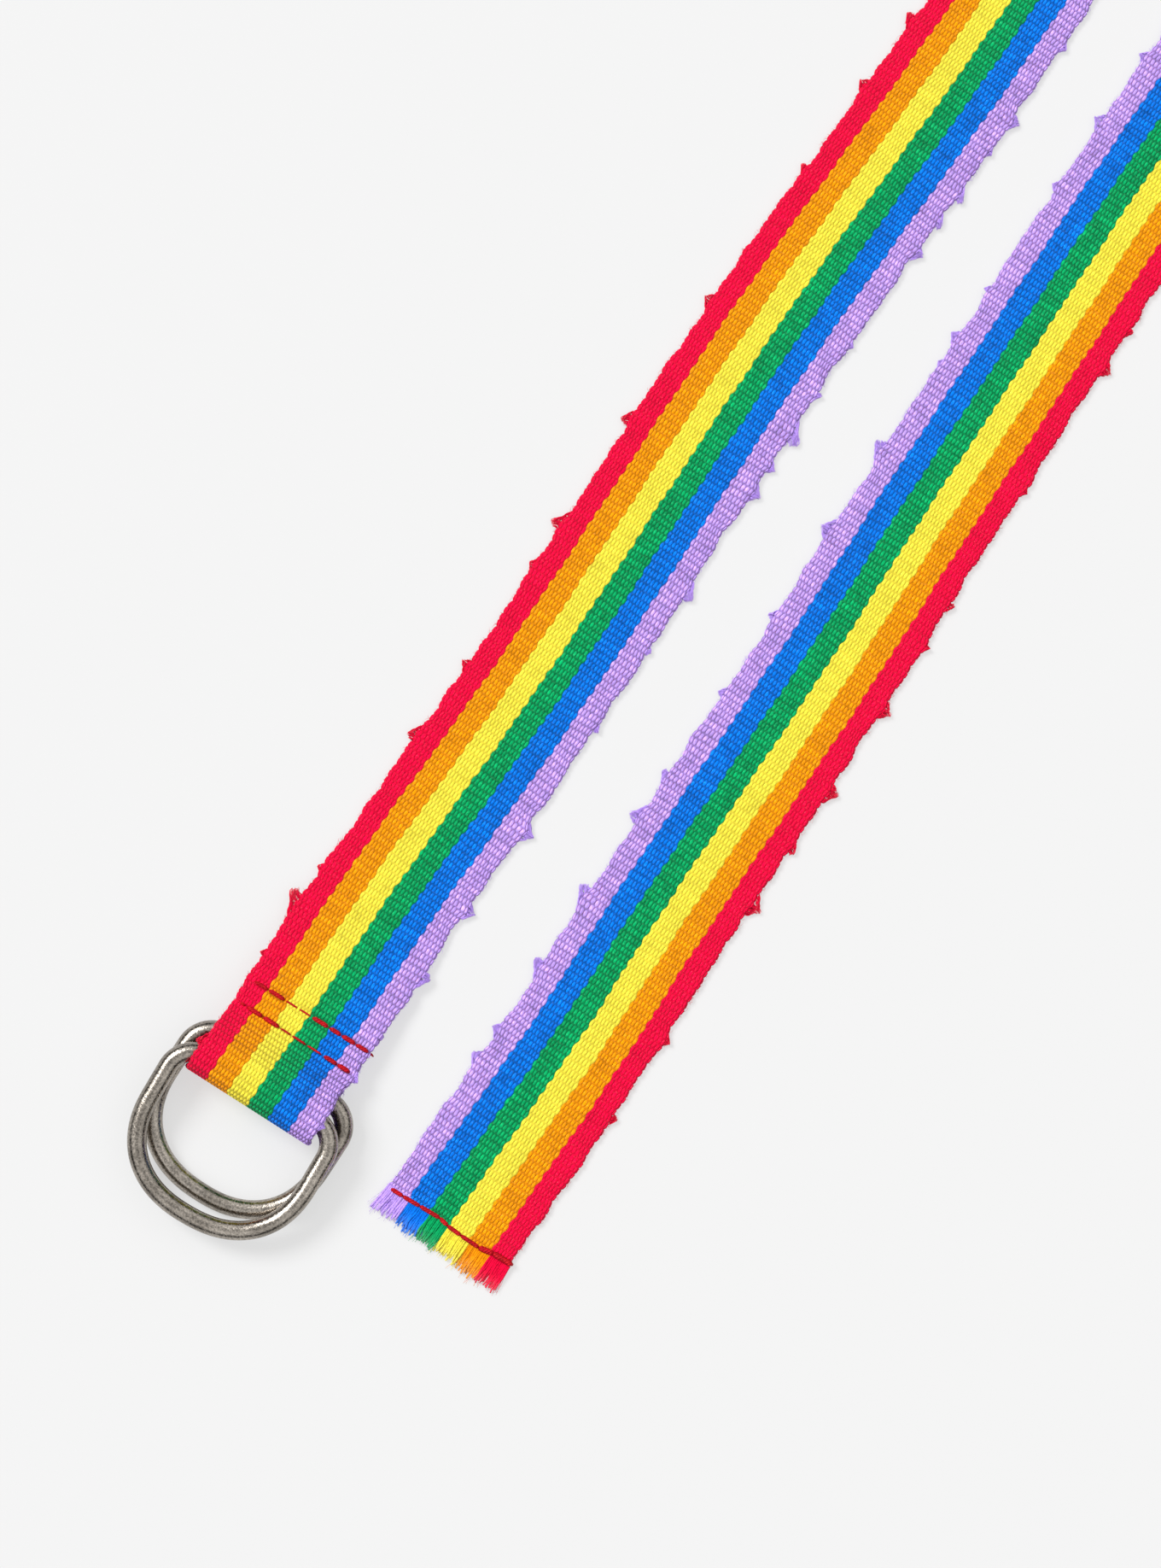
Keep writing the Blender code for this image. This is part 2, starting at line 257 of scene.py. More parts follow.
def sway(side, distance):
    points = RING_RUN_SWAY if side == -1 else FREE_RUN_SWAY
    shift = points[0][1] + np.zeros_like(np.asarray(distance, float))
    for (low, before), (high, after) in zip(points, points[1:]):
        shift = shift + (after - before) * smoothstep(low, high, distance)
    return shift


def on_run(side, distance, height):
    """Points on a run's centre line, these distances along it from the fold."""
    distance = np.atleast_1d(np.asarray(distance, float))
    start = np.zeros((len(distance), 3))
    start[:, 0] = side * RUN_OFFSET + CENTRE_X + sway(side, distance)
    start[:, 1] = FOLD_Y
    start[:, 2] = height
    return start + run_direction(side) * distance[:, None]


def across_run(side, distance):
    ahead = unit(on_run(side, distance + 1.0, 0.0) - on_run(side, distance - 1.0, 0.0))
    return np.stack([ahead[:, 1], -ahead[:, 0], np.zeros(len(ahead))], axis=1)


def sewn_height(distance, at_seam):
    return at_seam + SEWN_SLOPE * (distance - SEAM_DISTANCES[0])


def folded_end():
    flat_zone = [FLAP_END, 32.0, SEAM_DISTANCES[1], 25.4, SEAM_DISTANCES[0], 20.8]
    lower = [(d, sewn_height(d, LOWER_AT_SEAM)) for d in flat_zone]
    upper = [(d, sewn_height(d, UPPER_AT_SEAM)) for d in reversed(flat_zone[1:])]
    side_view = lower + UNDER_BARS + NOSE + OVER_BARS + upper + SETTLING + [SETTLED]
    distance, height = through(side_view, 16).T
    along = run_direction(-1)
    skew = math.tan(FOLD_SKEW) * (1 - smoothstep(SKEW_FULL, SKEW_NONE, distance))
    across = np.array([along[1], -along[0], 0.0]) + skew[:, None] * along
    spread = smoothstep(LOOP_NARROW_TO, SEAM_DISTANCES[0], distance)
    width = LOOP_WIDTH + (WEB_WIDTH - LOOP_WIDTH) * spread
    return on_run(-1, distance, height), unit(across), width, distance


def flat_run(side, near, far):
    distance = np.arange(near, far, 2.0)
    centre = on_run(side, distance, WEB_THICK / 2)
    return centre, across_run(side, distance), np.full(len(distance), WEB_WIDTH), distance


def turn():
    """The standing U-turn, where the webbing rolls up on its red edge and down again."""
    centre_x = CENTRE_X + TURN_SHIFT
    start = on_run(1, ROLL_START_Y - FOLD_Y, 0.0)[0]
    half = np.array([(start[0] - centre_x, start[1]), *HALF_TURN])
    mirrored = half * (-1, 1)
    plan = through(np.vstack([mirrored, half[-2::-1]]), 32)
    far = walked(plan)
    ahead = unit(np.gradient(plan, axis=0))
    roll = smoothstep(0.0, ROLL_LENGTH, np.minimum(far, far[-1] - far)) * math.pi / 2
    across = np.stack(
        [ahead[:, 1] * np.cos(roll), -ahead[:, 0] * np.cos(roll), np.sin(roll)], axis=1
    )
    height = (WEB_WIDTH * np.sin(roll) + WEB_THICK * np.cos(roll)) / 2
    centre = np.column_stack([plan[:, 0] + centre_x, plan[:, 1], height])
    width = np.full(len(centre), WEB_WIDTH)
    return centre, across, width, np.full(len(centre), np.nan)


class Route:
    """The webbing's centre line, and the frame it carries at each length along it."""

    def __init__(self):
        roll_start = ROLL_START_Y - FOLD_Y
        near, ahead, width, distance = flat_run(1, WEAVE_END, roll_start - 1.0)
        free_run = (near[::-1], -ahead[::-1], width, distance[::-1])
        ring_run = flat_run(-1, SETTLED[0] + 2.0, roll_start - 1.0)
        parts = [folded_end(), ring_run, turn(), free_run]
        self.centre, self.across, self.width, distance = (
            np.concatenate(joined) for joined in zip(*parts)
        )
        self.far = walked(self.centre)
        self.length = self.far[-1]
        self.periods = round(self.length / (2 * PICK))
        self.period = self.length / self.periods
        ends = np.cumsum([len(part[0]) for part in parts])
        nose = int(np.argmin(distance[: ends[0]]))
        stretches = {
            "flap": slice(nose, None, -1),
            "ring_run": slice(nose, ends[1]),
            "free_run": slice(None, ends[2] - 1, -1),
        }
        self.stretches = {
            name: (distance[part], self.far[part]) for name, part in stretches.items()
        }

    def length_at(self, stretch, distance):
        """How far along the webbing a distance from the fold is, on one of the stretches."""
        return np.interp(distance, *self.stretches[stretch])

    def read(self, values, at):
        return np.stack([np.interp(at, self.far, values[:, k]) for k in range(3)], axis=1)

    def smooth(self, at):
        """The centre line with its small corners rounded off."""
        spans = (-0.6, -0.3, 0.0, 0.3, 0.6)
        return sum(self.read(self.centre, at + span) for span in spans) / len(spans)

    def frames(self, at):
        """Centre, and the units across, ahead and out of the upper face, at these lengths."""
        at = np.atleast_1d(np.asarray(at, float))
        ahead = unit(self.smooth(at + 0.35) - self.smooth(at - 0.35))
        across = unit(self.read(self.across, at))
        across = unit(across - (across * ahead).sum(1, keepdims=True) * ahead)
        return self.smooth(at), across, ahead, np.cross(across, ahead)


# ---------------------------------------------------------------------------- the weave


def loop_places():
    """Where the vertices of one section are, in yarns round the loop from the red edge."""
    top_end, under_start = FLAT_YARNS, FLAT_YARNS + EDGE_YARNS
    under_end = under_start + FLAT_YARNS
    top = np.arange(0.0, top_end + 0.01, 1.0 / TOP_PER_YARN)
    under = np.arange(under_start + 0.5, under_end, 1.0 / UNDER_PER_YARN)
    right = np.linspace(top_end, under[0], EDGE_STEPS + 2)[1:-1]
    left = np.linspace(under[-1], ROUND_YARNS, EDGE_STEPS + 2)[1:-1]
    return np.concatenate([top, right, under, left])


def section(loop):
    """Place across and through the webbing, and the way out of it, for places round the loop."""
    half = WEB_WIDTH / 2 - WEB_THICK / 2
    corners = np.cumsum([0, FLAT_YARNS, EDGE_YARNS, FLAT_YARNS, EDGE_YARNS])
    flat = np.interp(loop, corners, [-half, half, half, -half, -half])
    angle = np.interp(loop, corners, np.array([0, 0, 1, 1, 2]) * math.pi)
    return flat, np.sin(angle), np.cos(angle)


def weave_depth(loop, periods):
    """How far the weave lies below the crowns of its yarns.

    The even yarns crown a quarter into each period and the odd ones at three quarters, each
    with gaps beside it. Between the picks the whole face dips to a narrow valley.
    """
    crown = 0.5 + 0.5 * np.cos(2 * math.pi * (periods - 0.25))
    place = loop - 0.5
    off = np.abs(place - 2 * np.round(place / 2))
    height = np.maximum(crown - off**2, 1 - crown - (1 - off) ** 2)
    valley = 1 - np.abs(np.sin(2 * math.pi * periods)) ** 0.7
    return RELIEF * (1 - height) + RIB * valley


def waves(along, parts):
    return sum(size * np.sin(2 * math.pi * along / length + at) for length, size, at in parts)


def all_tufts(route):
    """(edge, length along the webbing, reach, length) of every tuft; edge -1 is the red one."""
    draw = np.random.default_rng(TUFT_SEED)
    begin = float(route.length_at("ring_run", 4.0))
    tufts = []
    for edge, spacing in TUFT_SPACING.items():
        at = begin + spacing * draw.uniform(0.1, 0.6)
        while at < route.length - 12.0:
            size = draw.uniform() ** 1.3
            reach, long = (low + (high - low) * size for low, high in (TUFT_REACH, TUFT_LENGTH))
            tufts.append((edge, at, reach, long))
            at += spacing * draw.uniform(0.35, 1.65)
    return tufts


def edge_shift(along, edge, tufts):
    """How far a selvedge stands out or in, at these lengths along the webbing."""
    scallop = 0.09 if edge == -1 else 0.05
    uneven = [(long, size, 2.1 * k * (2.5 + edge)) for k, (long, size) in enumerate(EDGE_WAVES)]
    shift = waves(along, uneven)
    shift = shift + scallop * np.cos(math.pi * along / PICK)
    for side, at, reach, long in tufts:
        if side == edge:
            shift = shift + 0.32 * reach * np.exp(-((along - at) / (0.42 * long)) ** 2)
    return shift


def dents(route, along, facing):
    """How far the seams pull the faces in: facing is 1 on the upper face and -1 below."""
    depth = np.zeros(np.broadcast(along, facing).shape)
    end_seam = route.length_at("free_run", END_SEAM_DISTANCE)
    seams = [(route.length_at("ring_run", d), 1) for d in SEAM_DISTANCES]
    seams += [(route.length_at("flap", d), -1) for d in SEAM_DISTANCES]
    seams += [(end_seam, 1), (end_seam, -1)]
    for at, side in seams:
        depth = depth + (facing * side > 0.5) * 0.38 * np.exp(-(((along - at) / 1.1) ** 2))
    return depth


def surface(route, along, loop, tufts):
    """Points of the webbing's surface for lengths along it (rows) and places round it."""
    centre, across, ahead, up = (part[:, None, :] for part in route.frames(along))
    flat, out_x, out_z = section(loop)
    row = np.asarray(along, float)[:, None]
    width = np.interp(row, route.far, route.width)
    radius = WEB_THICK / 2 - weave_depth(loop[None, :], row / route.period) - dents(route, row, out_z)
    x = flat * width / WEB_WIDTH + out_x * radius
    for edge in (-1, 1):
        moved = smoothstep(14.5, 18.6, edge * (flat + out_x * WEB_THICK / 2))
        x = x + edge * moved * edge_shift(row, edge, tufts)
    calm = smoothstep(70.0, 110.0, row) * smoothstep(0.0, 30.0, route.length - row)
    slide = waves(row + 0.7 * flat, [(37.0, 0.28, 0.0), (19.3, 0.16, 1.3)])
    slide = slide + waves(row - 0.9 * flat, [(27.0, 0.16, 2.2), (71.0, 0.3, 0.5)])
    drift = waves(row + 1.7 * flat, [(31.0, 0.09, 0.8), (17.7, 0.06, 2.6)])
    points = centre + across * (x + drift * calm)[..., None]
    points = points + up * (out_z * radius)[..., None]
    points = points + ahead * (slide * calm)[..., None]
    points[..., 2] = np.maximum(points[..., 2], 0.0)
    return points


def mesh_object(name, points, faces, maps, normals=None):
    """A smooth mesh object from points in mm, faces of one size, and UV maps per corner."""
    faces = [np.asarray(part) for part in faces]
    mesh = bpy.data.meshes.new(name)
    corners = np.concatenate([part.ravel() for part in faces])
    sizes = np.concatenate([np.full(len(part), part.shape[1]) for part in faces])
    mesh.vertices.add(len(points))
    mesh.vertices.foreach_set("co", (points * MM).astype(np.float32).ravel())
    mesh.loops.add(len(corners))
    mesh.loops.foreach_set("vertex_index", corners.astype(np.int32))
    mesh.polygons.add(len(sizes))
    mesh.polygons.foreach_set("loop_start", (np.cumsum(sizes) - sizes).astype(np.int32))
    for map_name, values in maps.items():
        layer = mesh.uv_layers.new(name=map_name)
        layer.uv.foreach_set("vector", values.astype(np.float32).ravel())
    mesh.update(calc_edges=True)
    mesh.shade_smooth()
    if normals is not None:
        mesh.normals_split_custom_set_from_vertices(normals.tolist())
    made = bpy.data.objects.new(name, mesh)
    bpy.context.scene.collection.objects.link(made)
    return made


def quads(rows, columns, closed=True):
    """Corner indices of a grid's faces; the columns close round when asked."""
    row, column = np.meshgrid(np.arange(rows - 1), np.arange(columns - (not closed)), indexing="ij")
    across = (column + 1) % columns
    corners = [(row, column), (row, across), (row + 1, across), (row + 1, column)]
    return np.stack([r * columns + c for r, c in corners], axis=-1).reshape(-1, 4)


def weave_segments(route, tufts):
    """(name, rows) of the lengths of webbing, and the points and normals of the whole."""
    names = ["webbing_ring_end", "webbing_ring_run", "webbing_turn", "webbing_free_run",
             "webbing_free_end"]
    periods = route.periods
    loop = loop_places()
    along = np.append(np.add.outer(np.arange(periods), ROW_PLACES).ravel(), periods)
    along = along * route.period
    points = surface(route, along, loop, tufts)
    down = np.gradient(points, along, axis=0)
    sideways = np.roll(points, -1, axis=1) - np.roll(points, 1, axis=1)
    normals = unit(np.cross(sideways, down))
    joints = [round(periods * k / SEGMENTS) * len(ROW_PLACES) for k in range(SEGMENTS + 1)]
    return list(zip(names, joints, joints[1:])), along, loop, points, normals


def webbing_piece(name, first, last, along, loop, points, normals, period):
    """One length of the webbing, closed at both ends."""
    rows, columns = last - first + 1, len(loop)
    part = points[first : last + 1].reshape(-1, 3)
    faces = quads(rows, columns)
    ends = np.arange(columns)
    caps = np.stack([ends, ends[::-1] + (rows - 1) * columns])
    row, column = np.divmod(faces[:, 0], columns)
    around = np.append(loop, ROUND_YARNS)
    left, right = around[column], around[column + 1]
    near, far = along[first + row] / period, along[first + row + 1] / period
    weave = np.stack([left, near, right, near, right, far, left, far], axis=1).reshape(-1, 2)
    weave[:, 0] /= ROUND_YARNS
    half = (rows - 1) / 2
    block = (row >= half).astype(float)
    start = np.ceil(half) * block
    u = np.stack([row - start, row - start, row + 1 - start, row + 1 - start], axis=1)
    u = 0.004 + 0.992 * u / np.ceil(half)
    v = np.stack([left, right, right, left], axis=1) / ROUND_YARNS
    v = 0.004 + 0.5 * block[:, None] + 0.49 * v
    bake = np.stack([u, v], axis=-1).reshape(-1, 2)
    cap_weave = np.column_stack([np.tile(loop, 2) / ROUND_YARNS, np.zeros(2 * columns)])
    cap_bake = np.full((2 * columns, 2), 0.002)
    maps = {
        "OFBake": np.concatenate([bake, cap_bake]),
        "weave": np.concatenate([weave, cap_weave]),
    }
    return mesh_object(
        name, part, [faces, caps], maps, normals[first : last + 1].reshape(-1, 3)
    )


# ---------------------------------------------------------------------------- fine strands


class Strands:
    """Many thin tapering tubes kept as one mesh."""

    def __init__(self):
        self.points, self.faces, self.weave, self.cells = [], [], [], []
        self.count = 0
        self.tubes = 0

    def add(self, paths, radii, sides, loop):
        """paths (tube, ring, 3); radii (tube, ring); loop, the colour's place round the weave."""
        tubes, rings = paths.shape[:2]
        ahead = unit(np.gradient(paths, axis=1))
        side = unit(np.cross(ahead, np.array([0.31, 0.17, 0.94])))
        up = np.cross(ahead, side)
        angle = 2 * math.pi * np.arange(sides) / sides
        round_ = side[:, :, None] * np.cos(angle)[:, None] + up[:, :, None] * np.sin(angle)[:, None]
        points = paths[:, :, None] + radii[:, :, None, None] * round_
        one = quads(rings, sides)
        ends = np.arange(sides)
        caps = np.stack([ends[::-1], ends + (rings - 1) * sides])
        offset = self.count + np.arange(tubes)[:, None, None] * rings * sides
        self.faces += [(one + offset).reshape(-1, 4), (caps + offset).reshape(-1, sides)]
        ring, place = np.divmod(one[:, 0], sides)
        v = np.stack([ring, ring, ring + 1, ring + 1], axis=1) / (rings - 1)
        u = np.stack([place, place + 1, place + 1, place], axis=1) / sides
        loop = np.broadcast_to(np.asarray(loop, float), (tubes,))
        along = np.broadcast_to(v, (tubes, *v.shape))
        colour = np.broadcast_to(loop[:, None, None] / ROUND_YARNS, along.shape)
        tips = np.stack([np.repeat(loop, sides) / ROUND_YARNS, np.zeros(tubes * sides)], 1)
        tips = tips.reshape(tubes, 1, sides, 2)
        tips = np.concatenate([tips, tips + (0, 1)], axis=1)
        self.weave += [np.stack([colour, along], -1).reshape(-1, 2), tips.reshape(-1, 2)]
        cell = self.tubes + np.arange(tubes)
        inside = np.broadcast_to(np.stack([u, v], -1), (tubes, *u.shape, 2))
        self.cells += [
            (np.repeat(cell, u.size), inside.reshape(-1, 2)),
            (np.repeat(cell, 2 * sides), np.full((2 * sides * tubes, 2), 0.5)),
        ]
        self.points.append(points.reshape(-1, 3))
        self.count += tubes * rings * sides
        self.tubes += tubes

    def make(self, name):
        side = math.ceil(math.sqrt(self.tubes))
        bake = [
            (np.column_stack([cell % side, cell // side]) + 0.1 + 0.8 * inside) / side
            for cell, inside in self.cells
        ]
        maps = {"OFBake": np.concatenate(bake), "weave": np.concatenate(self.weave)}
        return mesh_object(name, np.concatenate(self.points), self.faces, maps)


def edge_strands(route, first, last, tufts, draw):
    """The frayed tufts and the fine fuzz along both selvedges of one length of webbing."""
    strands = Strands()
    for edge, at, reach, long in tufts:
        if not first <= at < last:
            continue
        loop = EDGE_LOOPS[edge]
        count = int(34 + 24 * reach)
        lean = draw.uniform(-0.5, 0.5) * long
        root = at + draw.uniform(-0.5, 0.5, count) * long
        tip = at + lean + (root - at) * draw.uniform(0.1, 0.45, count)
        out = reach * draw.uniform(0.7, 1.12, count) * (1 - 0.55 * np.abs(root - at) / (0.5 * long))
        strands.add(*curved(route, edge, root, tip, out, draw, tufts, TUFT_RADIUS), 4, loop)
    count = int((last - first) * FUZZ_PER_MM)
    for edge in (-1, 1):
        root = draw.uniform(first, last, count)
        tip = root + draw.normal(0.0, 0.7, count)
        out = np.abs(draw.normal(0.12, 0.17, count)) + 0.05
        strands.add(
            *curved(route, edge, root, tip, out, draw, tufts, FUZZ_RADIUS), 3, EDGE_LOOPS[edge]
        )
    return strands


def curved(route, edge, root, tip, out, draw, tufts, thick):
    """Paths and radii of fibres that leave a selvedge at root and end beyond it by out."""
    t = np.linspace(0.0, 1.0, FIBRE_RINGS)
    along = root[:, None] + (tip - root)[:, None] * t**1.6
    along = np.clip(along, 0.5, route.length - 0.5)
    height = draw.uniform(-0.7, 0.7, len(root))[:, None] * (1 - t) + (
        draw.normal(0.0, 0.35, len(root))[:, None] * t
    )
    edge_at = WEB_WIDTH / 2 + edge_shift(root, edge, tufts) - 0.35
    wide = np.interp(root, route.far, route.width) / WEB_WIDTH
    sideways = (edge_at * wide)[:, None] + (out + 0.35)[:, None] * np.sin(t * math.pi / 2)
    sideways = sideways + (draw.normal(0, 0.12, len(root)) * out)[:, None] * np.sin(t * math.pi * 2)
    centre, across, _, up = route.frames(along.ravel())
    paths = centre + across * (edge * sideways).ravel()[:, None]
    paths = paths + up * height.ravel()[:, None]
    paths[:, 2] = np.maximum(paths[:, 2], np.minimum(FIBRE_LOWEST, centre[:, 2]))
    radii = thick * draw.uniform(0.7, 1.5, len(root))[:, None] * (1 - 0.6 * t)
    return paths.reshape(len(root), FIBRE_RINGS, 3), radii


def fringe(route, draw):
    """The cut end: warp yarns that come out of the weave and fray."""
    strands = Strands()
    columns = np.arange(FACE_YARNS)
    for layer in (1, -1):
        x = (columns - (FACE_YARNS - 1) / 2) * WEB_WIDTH / FACE_YARNS
        x = x + draw.normal(0, 0.08, len(x))
        flare = np.where(x > 13, 0.16 * (x - 13), 0) + np.where(x < -14.5, 0.10 * (x + 14.5), 0)
        long = FRINGE_OUT + draw.normal(0, 0.55, len(x)) + 0.7 * np.sin(x * 0.37 + layer)
        loop = EDGE_LOOPS[1] - FACE_YARNS + (x / WEB_WIDTH + 0.5) * FACE_YARNS
        paths, radii = loose_yarns(route, x, flare, long, 0.42 * layer, 0.35, draw, 10)
        strands.add(paths, radii, 6, loop)
        for _ in range(LOOSE_FIBRES):
            away = flare + draw.normal(0, 0.9, len(x))
            longer = long + draw.normal(0.4, 0.7, len(x))
            height = 0.4 * layer + draw.normal(0, 0.2, len(x))
            start = x + draw.normal(0, 0.15, len(x))
            paths, radii = loose_yarns(route, start, away, longer, height, 0.05, draw, 8)
            strands.add(paths, radii, 3, loop)
    return strands


def loose_yarns(route, x, away, long, height, thick, draw, rings):
    """Paths and radii of yarns that leave the weave's end, drooping onto the table."""
    t = np.linspace(0.0, 1.0, rings)
    count = len(x)
    end, across, ahead, up = (part[0] for part in route.frames(route.length))
    wave = draw.normal(0, 0.22, count)[:, None] * np.sin(t * draw.uniform(4, 8, count)[:, None])
    sideways = x[:, None] + away[:, None] * t**1.4 + wave * t
    forward = -1.0 + (long + 1.0)[:, None] * t
    lift = np.broadcast_to(np.asarray(height, float), (count,))[:, None] * (1 - t)
    lift = lift + draw.normal(0, 0.22, count)[:, None] * t - 0.35 * t
    paths = end + across * sideways[..., None] + ahead * forward[..., None] + up * lift[..., None]
    paths[..., 2] = np.maximum(paths[..., 2], thick + 0.03)
    radii = thick * (1 - 0.35 * t**3) * draw.uniform(0.85, 1.15, count)[:, None]
    return paths, radii


# ---------------------------------------------------------------------------- seam threads


def twisted(ends, bulge, radius, strands, place, sides=8, plies=3):
    """One stitch of plied thread between two places across, which dives in at both ends."""
    start, stop = ends
    steps = max(int(abs(stop - start) / 0.16), 12)
    t = np.linspace(0.0, 1.0, steps)
    reach = abs(stop - start)
    rise = np.minimum(t, 1 - t) * reach
    height = (bulge + 1.1) * np.sin(np.clip(rise / 0.9, 0, 1) * math.pi / 2) - 1.1
    middle = place(start + (stop - start) * t, height)
    ahead = unit(np.gradient(middle, axis=0))
    up = unit(place(start + (stop - start) * t, height + 1.0) - middle)
    side = np.cross(ahead, up)
    fall = 0.72 + 0.28 * np.sin(np.clip(rise / 0.7, 0, 1) * math.pi / 2)
    for ply in range(plies):
        angle = 2 * math.pi * (t * reach / THREAD_TWIST + ply / plies)
        offset = radius * 0.5 * fall
        path = middle + (offset * np.cos(angle))[:, None] * side
        path = path + (offset * np.sin(angle))[:, None] * up
        strands.add(path[None], (radius * 0.58 * fall)[None], sides, 0.0)


def row_place(route, stretch, distance, turned, side):
    """Points over a seam's row: place across it, and height over the face on that side."""
    far = float(route.length_at(stretch, distance))

    def place(x, height):
        x = np.asarray(x, float)
        centre, across, _, up = route.frames(far + x * math.tan(turned))
        out = side * (WEB_THICK / 2 - 0.3 + height)
        return centre + across * x[:, None] + up * out[:, None]

    return place


def head_seams(route):
    """{CAD thread: its strands} of the two rows that close the ring end's fold."""
    made = {}
    seams = zip(("first_seam", "second_seam"), SEAM_DISTANCES, (FIRST_SEAM, SECOND_SEAM))
    for name, distance, stitches in seams:
        needle, bobbin = Strands(), Strands()
        top = row_place(route, "ring_run", distance + SEAM_SHIFT, SEAM_TURN, 1)
        under = row_place(route, "flap", distance + SEAM_SHIFT, -SEAM_TURN, -1)
        for start, stop, radius in stitches:
            twisted((start, stop), 0.55 * radius + 0.12, radius, needle, top)
            twisted((start + 1.6, stop + 1.6), 0.1, 0.36, bobbin, under)
        made[name + "_needle_thread"] = needle
        made[name + "_bobbin_thread"] = bobbin
    return made


def end_seam(route):
    """{CAD thread: its strands} of the stay stitch at the cut end, a long couched thread."""
    made = {}
    for name, side, thick, lift in (("needle", 1, 0.56, 0.28), ("bobbin", -1, 0.33, -0.17)):
        strands = Strands()
        xs, bends = np.array(END_SEAM_ROUTE).T
        base = float(route.length_at("free_run", END_SEAM_DISTANCE))

        def place(x, height, side=side):
            x = np.asarray(x, float)
            centre, across, _, up = route.frames(base - np.interp(x, xs, bends))
            out = side * (WEB_THICK / 2 - 0.3 + height)
            return centre + across * x[:, None] + up * out[:, None]

        for start, stop in zip(xs, xs[1:]):
            radius = thick * (1.35 if start < -13 and side == 1 else 1.0)
            twisted((start, stop + 0.25), lift, radius, strands, place)
        made[f"end_seam_{name}_thread"] = strands
    return made


# ---------------------------------------------------------------------------- rings


def ring_outline():
    """Centre line of a D-ring in its own plane, in equal steps, x along the bar."""
    half = (RING_WIDTH - WIRE) / 2
    corner = RING_CORNER - WIRE / 2
    side_end = RING_HEIGHT - WIRE - RING_ARC_DEPTH
    power = 2 / RING_ARC_EXPONENT
    quarter = np.linspace(0, math.pi / 2, 60)
    bend = np.column_stack(
        [half - corner + corner * np.sin(quarter), corner * np.cos(quarter) - corner]
    )
    sweep = np.column_stack([half * np.cos(quarter) ** power, np.sin(quarter) ** power])
    sweep[:, 1] = -side_end - RING_ARC_DEPTH * sweep[:, 1]
    right = np.vstack([bend, sweep])
    outline = np.vstack([right, (right * (-1, 1))[-2::-1]])
    outline = np.vstack([outline, outline[:1]])
    far = walked(outline)
    at = np.linspace(0, far[-1], RING_STEPS + 1)[:-1]
    return np.column_stack([np.interp(at, far, outline[:, k]) for k in range(2)])


def d_ring(name, distance, height, shift, turned, tilt):
    outline = ring_outline()
    outline = np.column_stack([outline[:, 0], outline[:, 1] + BAR_BEHIND_AXIS, 0 * outline[:, 0]])
    ahead = unit(np.roll(outline, -1, axis=0) - np.roll(outline, 1, axis=0))
    outward = np.cross(ahead, (0, 0, 1))
    angle = 2 * math.pi * np.arange(RING_SIDES) / RING_SIDES
    wire = WIRE / 2 * np.ones(len(outline))
    points = outline[:, None] + wire[:, None, None] * (
        outward[:, None] * np.cos(angle)[:, None] + np.array([0, 0, 1]) * np.sin(angle)[:, None]
    )
    spin = np.array(Matrix.Rotation(turned, 3, "Z") @ Matrix.Rotation(tilt, 3, "X"))
    side = run_direction(-1)
    across = np.array([side[1], -side[0], 0])
    centre = np.array([-RUN_OFFSET + CENTRE_X, FOLD_Y, height]) + side * distance + across * shift
    points = points.reshape(-1, 3) @ spin.T + centre
    count = len(outline)
    index = np.arange(count * RING_SIDES).reshape(count, RING_SIDES)
    nxt, beside = np.roll(index, -1, axis=0), np.roll(index, -1, axis=1)
    both = np.roll(nxt, -1, axis=1)
    faces = np.stack([index, nxt, both, beside], axis=-1).reshape(-1, 4)
    row, place = np.divmod(np.arange(count * RING_SIDES), RING_SIDES)
    u = np.stack([row, row + 1, row + 1, row], axis=1) / count
    v = np.stack([place, place, place + 1, place + 1], axis=1) / RING_SIDES
    maps = {"OFBake": 0.01 + 0.98 * np.stack([u, v], axis=-1).reshape(-1, 2)}
    return mesh_object(name, points, [faces], maps)


# ---------------------------------------------------------------------------- materials


